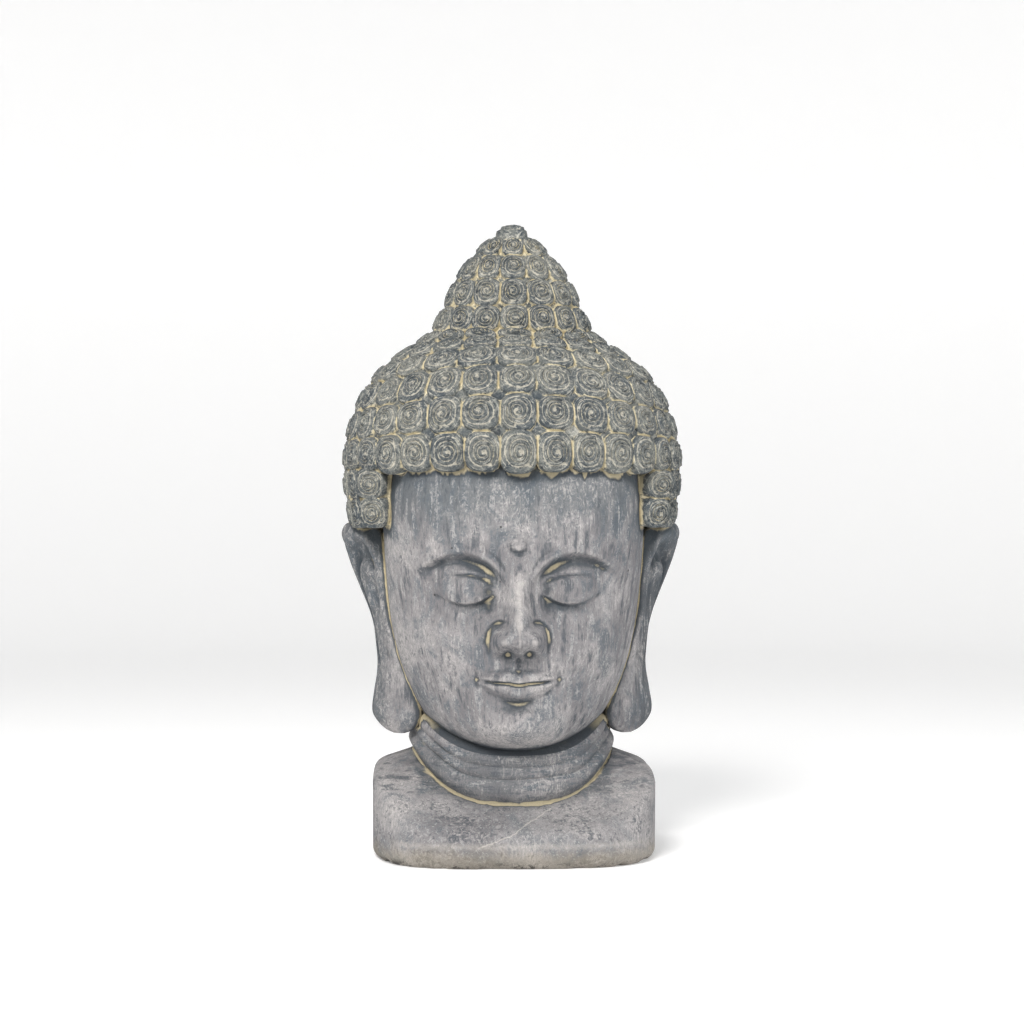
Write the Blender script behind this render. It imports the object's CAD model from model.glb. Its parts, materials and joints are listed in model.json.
"""Looks of a garden head in cast stone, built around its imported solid.

The head is one casting, so it is one piece here too: bust, folded neck, face, ears, hair mass and
about three hundred snail curls, joined into one closed skin. Its finish is grey stone under a thin
slate wash, brushed down the face, pale on the high spots, with cream left in the joints.
"""

import json
import math

import bmesh
import bpy
import numpy as np
from mathutils import Matrix, Vector, noise
from mathutils.bvhtree import BVHTree

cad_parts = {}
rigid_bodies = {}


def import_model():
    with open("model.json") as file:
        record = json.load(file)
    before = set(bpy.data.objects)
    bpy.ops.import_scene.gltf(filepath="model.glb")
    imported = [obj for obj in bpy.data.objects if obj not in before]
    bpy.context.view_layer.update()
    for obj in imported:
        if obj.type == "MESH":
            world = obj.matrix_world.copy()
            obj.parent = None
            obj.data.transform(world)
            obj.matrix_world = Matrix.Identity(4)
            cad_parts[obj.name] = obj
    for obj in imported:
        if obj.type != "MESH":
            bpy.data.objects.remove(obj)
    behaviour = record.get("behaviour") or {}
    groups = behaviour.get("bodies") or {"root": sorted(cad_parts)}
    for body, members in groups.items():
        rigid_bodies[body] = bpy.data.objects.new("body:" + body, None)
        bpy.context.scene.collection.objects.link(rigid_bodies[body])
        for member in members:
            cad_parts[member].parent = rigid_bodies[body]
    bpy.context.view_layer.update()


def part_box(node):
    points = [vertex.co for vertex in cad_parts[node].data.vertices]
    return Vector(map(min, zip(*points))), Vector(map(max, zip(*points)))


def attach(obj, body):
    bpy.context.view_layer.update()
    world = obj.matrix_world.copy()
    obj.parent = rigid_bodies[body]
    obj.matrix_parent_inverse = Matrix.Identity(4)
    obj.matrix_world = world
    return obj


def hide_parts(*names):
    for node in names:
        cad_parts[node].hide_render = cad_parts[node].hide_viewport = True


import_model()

LOW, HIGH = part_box("buddha_head")
HEIGHT = HIGH.z - LOW.z
WIDTH = HIGH.x - LOW.x
DEPTH = HIGH.y - LOW.y
MM = 0.001
TURN = 2 * math.pi

# Curls: how far they rise over the hair mass, how much two neighbours overlap at their widest, so that
# the joint between them is the dip where their rounded rims meet, and how far the mass under them
# stands back from its profile
CURL_RISE = 6.2 * MM
CURL_OVERLAP = 1.2 * MM
MASS_SETBACK = 0.2 * MM

# Differences from curl to curl: in size as a share, in turn, in the lie of the surface, and how far
# the middle of the coil leans off the middle of the curl
CURL_SIZE_CHANGE = 0.06
CURL_TURN_CHANGE = math.radians(7)
CURL_UNEVENNESS = 1.3 * MM
COIL_LEAN = 0.13

# Coil on a curl: share of the half width at which the outermost turn ends, depth of its groove as a
# share of the rise, how square the button is, and how deep its foot goes, again as a share of the rise
COIL_EDGE = 0.86
COIL_GROOVE = 0.24
CURL_SQUARENESS = 3.0
CURL_FOOT = 0.95

# Bust, as in the solid: its plan, its rounded lower edge, how high that curves up at the front and how
# deep its chips are, how square the plan is, and the height of the shoulder's rim
BUST_HALF_WIDTH = 103.5 * MM
BUST_FRONT = 110 * MM
BUST_BACK = 86 * MM
BUST_EDGE = 6.0 * MM
BUST_CURVE_UNDER = 12.5 * MM
EDGE_CHIP = 2.2 * MM
BUST_SQUARENESS = 3.4
BUST_RIM_SIDE = 0.118 * HEIGHT
BUST_RIM_FRONT = 0.028 * HEIGHT

# Neck: its plan as shares of the bust's, the line of its foot and its rise at the front and at the
# side, the creases between its folds as shares of the rise, how far each fold swells, how uneven the
# folds are in swell and in height, and the share of the neck's plan at which the shoulder ends in it
NECK_HALF_WIDTH = 0.715 * BUST_HALF_WIDTH
NECK_FRONT = 0.700 * BUST_FRONT
NECK_BACK = 0.720 * BUST_BACK
NECK_FOOT_FRONT = 0.094 * HEIGHT
NECK_FOOT_SIDE = 0.166 * HEIGHT
NECK_RISE_FRONT = 0.072 * HEIGHT
NECK_RISE_SIDE = 0.060 * HEIGHT
NECK_CREASES = [0.0, 0.46, 0.73, 1.0]
NECK_FOLDS = [3.0 * MM, 1.3 * MM, 1.2 * MM]
FOLD_CHANGE = 0.8
FOLD_WANDER = 0.16
NECK_TUCK = 0.94

# Head: three equal thirds from the hairline to the chin, and five eye widths across
HAIRLINE = 0.604 * HEIGHT
CHIN = 0.187 * HEIGHT
THIRD = (HAIRLINE - CHIN) / 3
NOSE_BASE = CHIN + THIRD
FACE_HALF_WIDTH = 0.743 * WIDTH / 2
FACE_FRONT = 0.825 * DEPTH / 2
EYE_WIDTH = 2 * FACE_HALF_WIDTH / 5
NOSE_REACH = DEPTH / 2 - FACE_FRONT

# Ears, and the reach of the hair mass under the curls
EAR_TOP = 0.525 * HEIGHT
EAR_FOOT = 0.188 * HEIGHT
EAR_THICKNESS = 10.5 * MM
HALF_WIDTH = WIDTH / 2 - CURL_RISE
HALF_DEPTH = DEPTH / 2 - CURL_RISE

# Profile of the bust's shoulder, from its rim (0) to the neck (1): share up, share in
SHOULDER = [(0.0, 0.0), (0.26, 0.04), (0.44, 0.15), (0.62, 0.42), (0.82, 0.74), (1.0, 1.0)]

# Hair mass under the curls: share of the height, then share of the half width or half depth
HAIR_SIDE = [
    (0.251, 0.590), (0.300, 0.680), (0.345, 0.765), (0.390, 0.822), (0.432, 0.866), (0.475, 0.906),
    (0.517, 0.948), (0.558, 0.977), (0.604, 0.993), (0.648, 0.985), (0.690, 0.942), (0.729, 0.876),
    (0.766, 0.760), (0.797, 0.590), (0.820, 0.466), (0.859, 0.404), (0.904, 0.330), (0.943, 0.228),
    (0.973, 0.098),
]
HAIR_FRONT = [
    (0.251, 0.700), (0.432, 0.800), (0.604, 0.846), (0.661, 0.854), (0.715, 0.792), (0.760, 0.655),
    (0.791, 0.490), (0.806, 0.375), (0.820, 0.305), (0.862, 0.262), (0.904, 0.205), (0.943, 0.120),
    (0.973, 0.020),
]
HAIR_BACK = [
    (0.251, 0.540), (0.300, 0.640), (0.345, 0.745), (0.390, 0.825), (0.432, 0.885), (0.475, 0.930),
    (0.517, 0.964), (0.558, 0.989), (0.604, 1.000), (0.648, 0.994), (0.690, 0.958), (0.729, 0.900),
    (0.766, 0.800), (0.797, 0.650), (0.820, 0.530), (0.862, 0.480), (0.904, 0.420), (0.943, 0.329),
    (0.973, 0.205),
]

# Rows of curls from the nape up: curls in a full turn, an even number, lower edge of the row at the
# front and at the side as shares of the height, and the angle from the front at which its curls start
CURL_ROWS = [
    (20, 0.251, 0.251, 103), (22, 0.307, 0.307, 102), (24, 0.363, 0.363, 100), (26, 0.418, 0.418, 98),
    (30, 0.473, 0.473, 98), (30, 0.516, 0.516, 55), (30, 0.560, 0.560, 55), (30, 0.604, 0.605, 0),
    (28, 0.661, 0.650, 0), (26, 0.715, 0.694, 0), (22, 0.760, 0.737, 0), (20, 0.791, 0.770, 0),
    (16, 0.806, 0.797, 0), (16, 0.820, 0.820, 0), (14, 0.862, 0.862, 0), (12, 0.904, 0.904, 0),
    (8, 0.943, 0.943, 0),
]
# Height at which the crown knob sits, how far the hair mass is sunk where the face shows, and the row
# over the brow with how far its curls hang lower than the rest
HAIR_TOP = 0.973
HAIR_SINK = 0.80
HAIRLINE_ROW = 7
HAIRLINE_DROP = 2.6 * MM

# Rows beside the temples, whose first curl turns towards the face
TEMPLE_ROW = 5
TEMPLE_TURN = math.radians(26)

# Curls further round than this have a plainer coil; for each kind, how many patterns are dealt out,
# and the points round a turn and the turns of its coil; and how many sets the curls are made in
PLAIN_CURLS_FROM = math.radians(80)
FINE_CURLS = 6
FINE_COIL = (20, 3)
PLAIN_CURLS = 4
PLAIN_COIL = (13, 2)
CURL_SETS = 4

# Head under the hair, from the throat up: share of the height, then shares of the face's half
# width, of its front reach and of the same reach behind, and how square the section is
HEAD_LEVELS = [
    (0.158, 0.28, 0.44, 0.20, 2.1), (0.170, 0.36, 0.66, 0.30, 2.1), (0.180, 0.445, 0.79, 0.38, 2.1),
    (0.191, 0.535, 0.875, 0.44, 2.1), (0.205, 0.625, 0.920, 0.50, 2.1), (0.225, 0.718, 0.935, 0.55, 2.1),
    (0.260, 0.812, 0.930, 0.60, 2.15), (0.300, 0.885, 0.935, 0.62, 2.2), (0.350, 0.945, 0.950, 0.62, 2.2),
    (0.400, 0.980, 0.955, 0.62, 2.25), (0.450, 1.000, 0.965, 0.62, 2.4), (0.500, 1.010, 0.965, 0.62, 2.7),
    (0.550, 1.005, 0.950, 0.62, 2.9), (0.604, 0.980, 0.920, 0.62, 2.9), (0.640, 0.940, 0.880, 0.60, 2.8),
]
# Levels of the head's rings: share of the height, and how many steps lead up to it
HEAD_STEPS = [(0.158, 0), (0.235, 22), (0.490, 112), (0.640, 18)]

# Ear sections from the lobe up: share of the ear's height, then the front inner edge and the rear
# outer edge, each as a share of the half width and of the half depth
EAR_SECTIONS = [
    (0.00, 0.625, -0.125, 0.680, -0.085),
    (0.015, 0.577, -0.155, 0.722, -0.065),
    (0.045, 0.545, -0.185, 0.764, -0.040),
    (0.10, 0.530, -0.205, 0.800, -0.015),
    (0.20, 0.560, -0.210, 0.788, 0.010),
    (0.36, 0.645, -0.195, 0.755, 0.050),
    (0.52, 0.690, -0.175, 0.768, 0.085),
    (0.70, 0.722, -0.160, 0.852, 0.140),
    (0.84, 0.735, -0.150, 0.928, 0.170),
    (0.93, 0.750, -0.120, 0.981, 0.155),
    (0.98, 0.790, -0.060, 0.966, 0.115),
    (1.00, 0.840, 0.000, 0.915, 0.065),
]
# How square an ear's section is, and its thickness from the lobe up as a share of EAR_THICKNESS
EAR_SQUARENESS = 2.8
EAR_SWELL = [(0.0, 0.5), (0.1, 1.2), (0.35, 0.95), (0.9, 1.1), (1.0, 0.5)]


def curve(knots, at):
    """Smooth curve through rising knots (position, value), read at every value of an array."""
    place, value = np.array(knots, float).T
    slope = np.empty_like(value)
    slope[1:-1] = (value[2:] - value[:-2]) / (place[2:] - place[:-2])
    slope[0] = (value[1] - value[0]) / (place[1] - place[0])
    slope[-1] = (value[-1] - value[-2]) / (place[-1] - place[-2])
    at = np.clip(at, place[0], place[-1])
    i = np.clip(np.searchsorted(place, at) - 1, 0, len(place) - 2)
    width = place[i + 1] - place[i]
    t = (at - place[i]) / width
    start = (2 * t**3 - 3 * t**2 + 1) * value[i] + (t**3 - 2 * t**2 + t) * width * slope[i]
    end = (3 * t**2 - 2 * t**3) * value[i + 1] + (t**3 - t**2) * width * slope[i + 1]
    return start + end


def step(value, start, end):
    """Soft step from 0 at start to 1 at end."""
    t = np.clip((value - start) / (end - start), 0.0, 1.0)
    return t * t * (3 - 2 * t)


def ridge(distance, width):
    """Bell with a flat foot, exactly nought beyond its width."""
    t = np.minimum(np.abs(distance) / width, 1.0)
    return (1 - t * t) ** 2


def oval_point(angle, half_width, front, back, power=2.0):
    """Points of a plan oval; the angle runs from the front (-Y) towards +X."""
    c = np.copysign(np.abs(np.cos(angle)) ** (2 / power), np.cos(angle))
    s = np.copysign(np.abs(np.sin(angle)) ** (2 / power), np.sin(angle))
    return half_width * s, -np.where(c > 0, front, back) * c


def between(angle, front, side):
    """Height of a line that sags over the face and runs level round the sides and the back."""
    return np.where(np.cos(angle) > 0, front + (side - front) * np.abs(np.sin(angle)) ** 3.2, side)


def new_object(name, bm):
    """Turn a bmesh into an object, its faces pointing out."""
    bmesh.ops.recalc_face_normals(bm, faces=bm.faces)
    mesh = bpy.data.meshes.new(name)
    bm.to_mesh(mesh)
    bm.free()
    obj = bpy.data.objects.new(name, mesh)
    bpy.context.collection.objects.link(obj)
    return obj


def close_end(bm, ring):
    """Fan of triangles over an open end."""
    middle = bm.verts.new(sum((v.co for v in ring), Vector()) / len(ring))
    for i in range(len(ring)):
        bm.faces.new((ring[i], ring[(i + 1) % len(ring)], middle))


def loft(name, rings, roughness):
    """Closed skin over rings of equal length, a little uneven as a hand-finished casting is.

    It swells every 40 mm or so and, less, every 10 mm. The underside stays flat.
    """
    bm = bmesh.new()
    rows = [[bm.verts.new(point) for point in ring] for ring in rings]
    count = len(rows[0])
    for low, high in zip(rows, rows[1:]):
        for i in range(count):
            j = (i + 1) % count
            bm.faces.new((low[i], low[j], high[j], high[i]))
    close_end(bm, rows[0][::-1])
    close_end(bm, rows[-1])
    bmesh.ops.recalc_face_normals(bm, faces=bm.faces)
    bmesh.ops.triangulate(bm, faces=bm.faces)
    bm.normal_update()
    for v in bm.verts:
        uneven = noise.noise(v.co * 26.0) + 0.45 * noise.noise(v.co * 90.0)
        v.co += v.normal * roughness * uneven * float(step(v.co.z, 0.0, 4 * MM))
    return new_object(name, bm)


def stacked(x, y, z):
    """Rings of points from arrays of the same shape, one ring a row."""
    return np.stack(np.broadcast_arrays(x, y, z), axis=-1)


def make_bust(count=144, edge_steps=8, shoulder_steps=29):
    """Block of the bust: flat underside, rounded lower edge, shoulders that rise to the neck."""
    angle = np.arange(count) / count * TURN
    rings = []
    lift = BUST_EDGE + (BUST_CURVE_UNDER - BUST_EDGE) * np.maximum(np.cos(angle), 0.0)
    knocks = np.array([noise.noise(Vector((9 * math.sin(a), 9 * math.cos(a), 1.7))) for a in angle])
    chips = EDGE_CHIP * step(knocks, 0.12, 0.40) * step(np.cos(angle), 0.2, 0.5)
    for arc in np.linspace(0, TURN / 4, edge_steps + 1):
        inset = BUST_EDGE * (1 - math.sin(arc)) + chips * step(1 - math.sin(arc), 0.10, 0.5)
        x, y = oval_point(angle, BUST_HALF_WIDTH - inset, BUST_FRONT - inset, BUST_BACK - inset,
                          BUST_SQUARENESS)
        rings.append(stacked(x, y, lift * (1 - math.cos(arc))))
    outer = oval_point(angle, BUST_HALF_WIDTH, BUST_FRONT, BUST_BACK, BUST_SQUARENESS)
    inner = oval_point(angle, NECK_HALF_WIDTH, NECK_FRONT, NECK_BACK)
    rim = between(angle, BUST_RIM_FRONT, BUST_RIM_SIDE)
    foot = between(angle, NECK_FOOT_FRONT, NECK_FOOT_SIDE)
    for up in np.linspace(0, 1, shoulder_steps + 1):
        inwards = curve(SHOULDER, up)
        x, y = (p + (NECK_TUCK * q - p) * inwards for p, q in zip(outer, inner))
        rings.append(stacked(x, y, rim + (foot - rim) * up))
    return loft("bust", rings, roughness=0.55 * MM)


def make_neck(count=128, steps=9):
    """Short column with soft folds, lower at the throat than at the sides."""
    angle = (np.arange(count) + 0.5) / count * TURN
    shares = [-0.3]
    for low, high in zip(NECK_CREASES, NECK_CREASES[1:]):
        shares += [low + (high - low) * (0.5 - 0.5 * math.cos(math.pi * n / steps)) for n in range(steps)]
    shares += [NECK_CREASES[-1], NECK_CREASES[-1] + 0.3]
    drift = np.array([noise.noise(Vector((2.2 * math.sin(a), 2.2 * math.cos(a), 5.0))) for a in angle])
    rings = []
    for share in shares:
        swell = 0.0
        for low, high, depth in zip(NECK_CREASES, NECK_CREASES[1:], NECK_FOLDS):
            if low < share < high:
                swell = depth * (1 + FOLD_CHANGE * drift) * math.sin(math.pi * (share - low) / (high - low))
        if share > NECK_CREASES[-1]:
            swell = -0.2 * NECK_BACK
        back = NECK_BACK + np.minimum(swell, 0.0)
        x, y = oval_point(angle, NECK_HALF_WIDTH * (1 - 0.04 * share) + swell,
                          NECK_FRONT * (1 + 0.06 * share) + swell, back)
        foot = between(angle, NECK_FOOT_FRONT, NECK_FOOT_SIDE)
        rise = between(angle, NECK_RISE_FRONT, NECK_RISE_SIDE)
        wander = FOLD_WANDER * drift * math.sin(math.pi * min(max(share, 0.0), 1.0))
        rings.append(stacked(x, y, foot + rise * (share + wander)))
    return loft("neck", rings, roughness=0.5 * MM)


# The face is written in its own units: u counts eye widths out from the middle, v counts thirds
# up from the base of the nose, and heights of the relief are shares of a third.
BROW_ARC = [(0.0, 0.74), (0.24, 0.80), (0.45, 0.95), (0.75, 1.06), (1.05, 1.10), (1.45, 1.05),
            (1.85, 0.92), (2.3, 0.70)]
NOSE_PROFILE = [(-0.14, 0.0), (-0.06, 0.06), (0.00, 0.30), (0.06, 0.78), (0.12, 0.98), (0.17, 1.0),
                (0.26, 0.93), (0.42, 0.76), (0.60, 0.58), (0.80, 0.40), (0.95, 0.24), (1.08, 0.08),
                (1.25, 0.0)]
NOSE_HALF = [(-0.1, 0.20), (0.02, 0.23), (0.13, 0.28), (0.24, 0.25), (0.45, 0.20), (0.70, 0.19),
             (0.90, 0.24), (1.15, 0.40)]


def nose_relief(u, v):
    """Ridge, ball and wings of the nose."""
    half = curve(NOSE_HALF, v)
    body = 0.66 * ridge(u, 1.45 * half) + 0.34 * ridge(u, 3.0 * half)
    reach = NOSE_REACH / THIRD
    lift = reach * np.maximum(curve(NOSE_PROFILE, v), 0.0) * body
    wing = 0.44 * reach * ridge(np.abs(u) - 0.34, 0.22) * ridge(v - 0.12, 0.21)
    around = np.hypot((np.abs(u) - 0.30) / 0.27, (v - 0.12) / 0.20)
    fold = 0.030 * ridge(around - 1.0, 0.30) * step(v, 0.02, 0.14) * (1 - step(np.abs(u), 0.60, 0.75))
    hollow = 0.065 * ridge(np.abs(u) - 0.20, 0.13) * ridge(v - 0.005, 0.075)
    return lift + wing - fold - hollow


def eye_relief(u, v):
    """Socket under the brow, and the full lowered lid that rests in it."""
    side = np.abs(u)
    brow = curve(BROW_ARC, side)
    inner = step(side, 0.16, 0.62)
    outer = 1 - step(side, 1.45, 2.05)
    depth = 0.128 - 0.040 * step(side, 0.6, 1.6)
    socket = -depth * step(brow - v, 0.00, 0.12) * (1 - step(brow - v, 0.30, 0.80)) * inner * outer
    rim = 0.026 * ridge(v - brow - 0.015, 0.09) * step(side, 0.15, 0.4) * (1 - step(side, 1.3, 2.1))
    across = (side - 1.0) / 0.56
    within = np.maximum(1 - across * across, 0.0)
    lid_line = 0.655 - 0.125 * within + 0.02 * across
    reach = ((side - 1.0) / 0.68) ** 2 + ((v - 0.70) / 0.37) ** 2
    ball = 0.160 * np.maximum(1 - reach, 0.0) ** 1.6
    below = lid_line - v
    slit = -0.066 * step(below, -0.004, 0.020) * (1 - step(below, 0.035, 0.20)) * within**0.6
    crease = -0.028 * ridge(v - lid_line - 0.31 * within**0.5, 0.040) * within
    return socket + rim + ball + slit + crease


def mouth_relief(u, v):
    """Lips with a bow, the groove above and below them, and the ball of the chin."""
    side = np.abs(u)
    along = np.maximum(1 - (side / 0.74) ** 2, 0.0)
    line = -0.333 + 0.030 * (side / 0.7) ** 2 - 0.012 * ridge(u, 0.22)
    top = line + 0.145 * along**0.7 - 0.022 * ridge(u, 0.14)
    bottom = line - 0.165 * along**0.8
    upper = 0.074 * ridge(v - line - 0.42 * (top - line), 0.66 * (top - line) + 0.020) * along**0.5
    lower = 0.080 * ridge(v - line - 0.48 * (bottom - line), 0.72 * (line - bottom) + 0.020) * along**0.5
    slit = -0.040 * ridge(v - line, 0.032) * (1 - step(side, 0.64, 0.84))
    corner = -0.030 * ridge(np.hypot(side - 0.76, 0.8 * (v - line)), 0.15)
    muzzle = 0.077 * ridge(u, 1.35) * ridge(v + 0.28, 0.56)
    philtrum = -0.015 * ridge(u, 0.11) * ridge(v + 0.12, 0.13)
    groove = -0.043 * ridge(u, 0.70) * ridge(v + 0.58, 0.11)
    chin = 0.107 * ridge(u, 1.05) * ridge(v + 0.80, 0.34)
    return upper + lower + slit + corner + muzzle + philtrum + groove + chin


def face_relief(x, z):
    """How far the face stands forward of the plain head at a point seen from the front."""
    u = x / EYE_WIDTH
    v = (z - NOSE_BASE) / THIRD
    cheek = 0.046 * ridge(np.abs(u) - 1.25, 0.85) * ridge(v - 0.10, 0.50)
    mark = 0.046 * (1 - step(np.hypot(x / THIRD, v - 1.16), 0.035, 0.085))
    mark = mark - 0.014 * ridge(np.hypot(x / THIRD, v - 1.16) - 0.095, 0.030)
    return THIRD * (nose_relief(u, v) + eye_relief(u, v) + mouth_relief(u, v) + cheek + mark)


def make_head(front=136, rear=14):
    """Plain egg of the head with the face raised on its front."""
    edge = math.radians(78)
    t = np.linspace(-1, 1, front + 1)
    columns = np.concatenate([edge * np.copysign(np.abs(t) ** 1.15, t),
                              edge + (TURN - 2 * edge) * np.arange(1, rear) / rear])
    shares = [HEAD_STEPS[0][0]]
    for (low, _), (high, steps) in zip(HEAD_STEPS, HEAD_STEPS[1:]):
        shares += [low + (high - low) * (n + 1) / steps for n in range(steps)]
    rings = []
    for share in shares:
        half, reach, behind, square = (curve([(row[0], row[n]) for row in HEAD_LEVELS], share)
                                       for n in (1, 2, 3, 4))
        x, y = oval_point(columns, half * FACE_HALF_WIDTH, reach * FACE_FRONT, behind * FACE_FRONT, square)
        z = share * HEIGHT
        y = y - face_relief(x, z) * step(np.cos(columns), 0.15, 0.45)
        rings.append(stacked(x, y, z))
    return loft("head", rings, roughness=0.35 * MM)


def ear_relief(across, share):
    """Helix, the furrow inside it, antihelix and the bowl of the ear, in metres outwards.

    Across runs from -1 at the front inner edge to 1 at the rear outer edge.
    """
    up = np.maximum((share - 0.66) / 0.34, 0.0)
    out = np.hypot(0.92 * across + 0.06 * up, 0.98 * up)
    shell = step(share, 0.24, 0.46)
    rim = 3.2 * ridge(out - 0.86, 0.22) * step(across + 1.2 * up, -0.45, 0.10)
    furrow = -4.4 * ridge(out - 0.58, 0.19) * step(across + 1.2 * up, -0.35, 0.15)
    fold = 2.4 * ridge(out - 0.32, 0.17) * step(across + up, -0.25, 0.10)
    bowl = -5.4 * ridge(across + 0.28, 0.42) * ridge(share - 0.60, 0.21)
    flap = 2.6 * ridge(across + 0.82, 0.28) * ridge(share - 0.56, 0.14)
    notch = -2.8 * ridge(across + 0.10, 0.50) * ridge(share - 0.375, 0.075)
    return MM * (shell * (rim + furrow + fold + bowl + flap) + notch)


def make_ear(name, side, count=64, levels=70):
    """Long ear: it stands out at the helix and fills out again at the smooth lobe."""
    rings = []
    angle = np.arange(count) / count * TURN
    for n in range(levels + 1):
        share = 0.5 - 0.5 * math.cos(math.pi * n / levels)
        x0, y0, x1, y1 = (curve([(row[0], row[k]) for row in EAR_SECTIONS], share) for k in (1, 2, 3, 4))
        inner = np.array([x0 * WIDTH / 2, y0 * DEPTH / 2])
        outer = np.array([x1 * WIDTH / 2, y1 * DEPTH / 2])
        half = np.linalg.norm(outer - inner) / 2
        along = (outer - inner) / (2 * half)
        thick = EAR_THICKNESS * curve(EAR_SWELL, share)
        u = np.copysign(np.abs(np.cos(angle)) ** (2 / EAR_SQUARENESS), np.cos(angle))
        w = thick / 2 * np.copysign(np.abs(np.sin(angle)) ** (2 / EAR_SQUARENESS), np.sin(angle))
        w = w + np.where(np.sin(angle) > 0, ear_relief(u, share) * np.abs(np.sin(angle)) ** 0.25, 0)
        x = (inner[0] + outer[0]) / 2 + half * u * along[0] + w * along[1]
        y = (inner[1] + outer[1]) / 2 + half * u * along[1] - w * along[0]
        rings.append(stacked(side * x, y, EAR_FOOT + (EAR_TOP - EAR_FOOT) * share))
    return loft(name, rings, roughness=0.3 * MM)


def hair_point(angle, front_share, side_share):
    """Point of the hair mass under the curls, on a line given by its heights front and side."""
    x, y = oval_point(angle, HALF_WIDTH * curve(HAIR_SIDE, side_share),
                      HALF_DEPTH * curve(HAIR_FRONT, front_share),
                      HALF_DEPTH * curve(HAIR_BACK, side_share))
    z = side_share + (front_share - side_share) * np.maximum(np.cos(angle), 0.0) ** 2
    return stacked(x, y, z * HEIGHT)


def row_line(row, share):
    """Heights front and side of a line part of the way up a row."""
    lines = [(front, side) for _, front, side, _ in CURL_ROWS] + [(HAIR_TOP, HAIR_TOP)]
    return [low + (high - low) * share for low, high in zip(lines[row], lines[row + 1])]


def first_edge(row):
    """Angle from the front at which the hair of a row starts."""
    count, _, _, start = CURL_ROWS[row]
    pitch = 360 / count
    return math.radians((math.ceil(start / pitch) - 0.5) * pitch)


def make_hair_mass(count=120):
    """Cap under the curls, which shows at the bottom of the joints and is sunk where the face shows."""
    angle = np.arange(count) / count * TURN
    from_front = np.abs((angle + math.pi) % TURN - math.pi)
    rings = []
    for row in range(len(CURL_ROWS)):
        shown = step(from_front, first_edge(row) + math.radians(0.5), first_edge(row) + math.radians(3.5))
        if first_edge(row) < 0:
            shown = np.ones(count)
        for share in (0.22 if row == HAIRLINE_ROW else 0.03, 0.5, 0.97):
            ring = hair_point(angle, *row_line(row, share))
            reach = np.hypot(ring[:, 0], ring[:, 1])
            scale = HAIR_SINK + (1 - HAIR_SINK - MASS_SETBACK / reach) * shown
            ring[:, :2] *= scale[:, None]
            rings.append(ring)
    return loft("hair_mass", rings, roughness=0.5 * MM)


def curl_mesh(name, around, turns, start, hand, lean):
    """One snail curl, a unit wide each way and a unit high: a rounded square button with a coil.

    The rows of its mesh wind with the coil, so the groove is one of them all the way.
    """
    bm = bmesh.new()
    groove = bm.verts.layers.float.new("groove")
    per_turn = 2
    pitch = COIL_EDGE / (turns + 1)
    last = turns * per_turn

    def place(column, reach, height, depth=0.0):
        angle = start + hand * column / around * TURN
        c, s = math.cos(angle), math.sin(angle)
        square = (abs(c) ** CURL_SQUARENESS + abs(s) ** CURL_SQUARENESS) ** (-1 / CURL_SQUARENESS)
        out = reach * (1 + (square - 1) * min(reach, 1.0) ** 2)
        drift = max(1 - reach, 0.0) ** 1.5
        vert = bm.verts.new((out * c + lean[0] * drift, out * s + lean[1] * drift, height))
        vert[groove] = depth
        return vert

    def on_coil(column, row):
        reach = pitch * (row / per_turn + column / around)
        cut = 1.0 if row % per_turn == 0 else 0.0
        dome = 1 - 0.34 * reach**2.2
        swell = COIL_GROOVE * (0.30 - cut) * min(1.0, 0.5 * reach / pitch + 0.4)
        return place(column, reach, dome + swell, cut)

    coil = [[on_coil(i, j) for j in range(last + 1)] for i in range(around)]
    coil[0] += [on_coil(0, j) for j in range(last + 1, last + per_turn + 1)]
    coil.append(coil[0][per_turn:])
    rim = [place(i, 0.915, 0.66) for i in range(around)]
    for i in range(around):
        for j in range(last):
            bm.faces.new((coil[i][j], coil[i + 1][j], coil[i + 1][j + 1], coil[i][j + 1]))
    for i in range(1, around - 1):
        bm.faces.new((coil[0][0], coil[i][0], coil[i + 1][0]))
    bm.faces.new([coil[0][0], coil[around - 1][0], *coil[0][per_turn:0:-1]])
    for i in range(1, around):
        bm.faces.new((coil[i][last], coil[i + 1][last], rim[(i + 1) % around], rim[i]))
    bm.faces.new([coil[0][last], coil[1][last], rim[1], rim[0], *coil[0][last + per_turn:last:-1]])
    ring = rim
    for reach, height in [(0.975, 0.46), (1.02, 0.05), (1.02, -CURL_FOOT)]:
        below = [place(i, reach, height) for i in range(around)]
        for i in range(around):
            j = (i + 1) % around
            bm.faces.new((ring[i], ring[j], below[j], below[i]))
        ring = below
    close_end(bm, ring)
    bmesh.ops.recalc_face_normals(bm, faces=bm.faces)
    bmesh.ops.triangulate(bm, faces=bm.faces)
    coil_place = bm.loops.layers.uv.new("coil_place")
    for face in bm.faces:
        for loop in face.loops:
            loop[coil_place].uv = loop.vert.co.xy
    mesh = bpy.data.meshes.new(name)
    bm.to_mesh(mesh)
    bm.free()
    cut = np.zeros(len(mesh.vertices), np.float32)
    mesh.attributes["groove"].data.foreach_get("value", cut)
    mesh.attributes.remove(mesh.attributes["groove"])
    corner = np.zeros(len(mesh.loops), np.int32)
    mesh.loops.foreach_get("vertex_index", corner)
    mesh.attributes.new("coil_groove", "FLOAT", "CORNER").data.foreach_set("value", cut[corner])
    return mesh


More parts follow.
